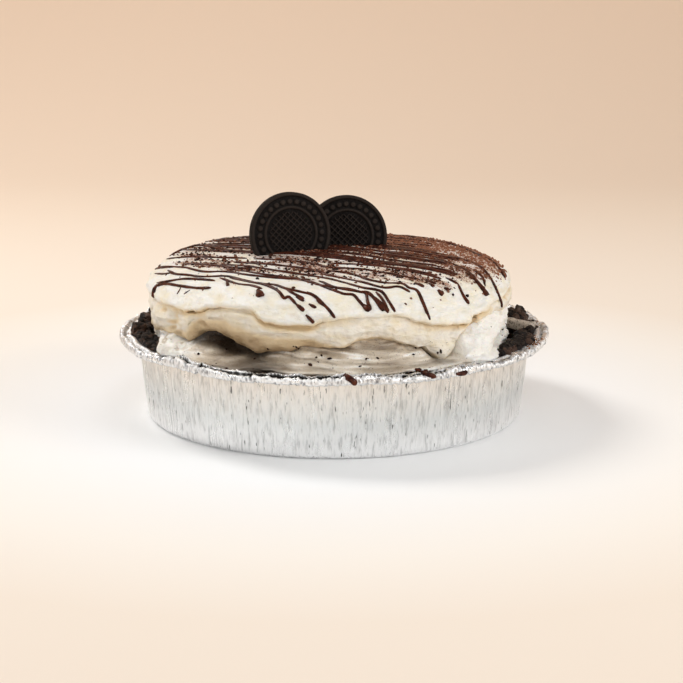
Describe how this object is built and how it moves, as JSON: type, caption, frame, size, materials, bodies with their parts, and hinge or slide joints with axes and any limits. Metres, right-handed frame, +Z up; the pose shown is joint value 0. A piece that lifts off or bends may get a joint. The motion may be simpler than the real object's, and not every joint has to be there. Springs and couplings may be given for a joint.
{
  "type": "cheesecake pie",
  "caption": "Unbaked cheesecake pie in a round foil tin: dark crumb crust, speckled filling heaped above the rim, whipped cream in two folds, chocolate drizzle and upright dark wafers.",
  "frame": {"origin": "middle of the tin's base, on the surface that the tin stands on", "axes": "+Z up, the front of the pie as pictured at -Y, +X to the viewer's right"},
  "size_m": [0.2286, 0.2286, 0.1178],
  "materials": {
    "foil": "thin bright foil, finely wrinkled down the wall, with a rolled and crimped edge",
    "crust": "pressed dark wafer crumbs, coarse and dull",
    "filling": "soft cream cheese with dark crumb specks, smeared in level streaks",
    "cream": "soft whipped cream, warm white, with thin dark chocolate lines and cocoa crumbs on top",
    "wafer": "embossed near-black biscuit, dull and dry"
  },
  "bodies": {
    "root": {"foil_tin": "foil", "crumb_crust": "crust", "speckled_filling": "filling", "whipped_cream": "cream", "wafer_left": "wafer", "wafer_right": "wafer"}
  },
  "joints": []
}
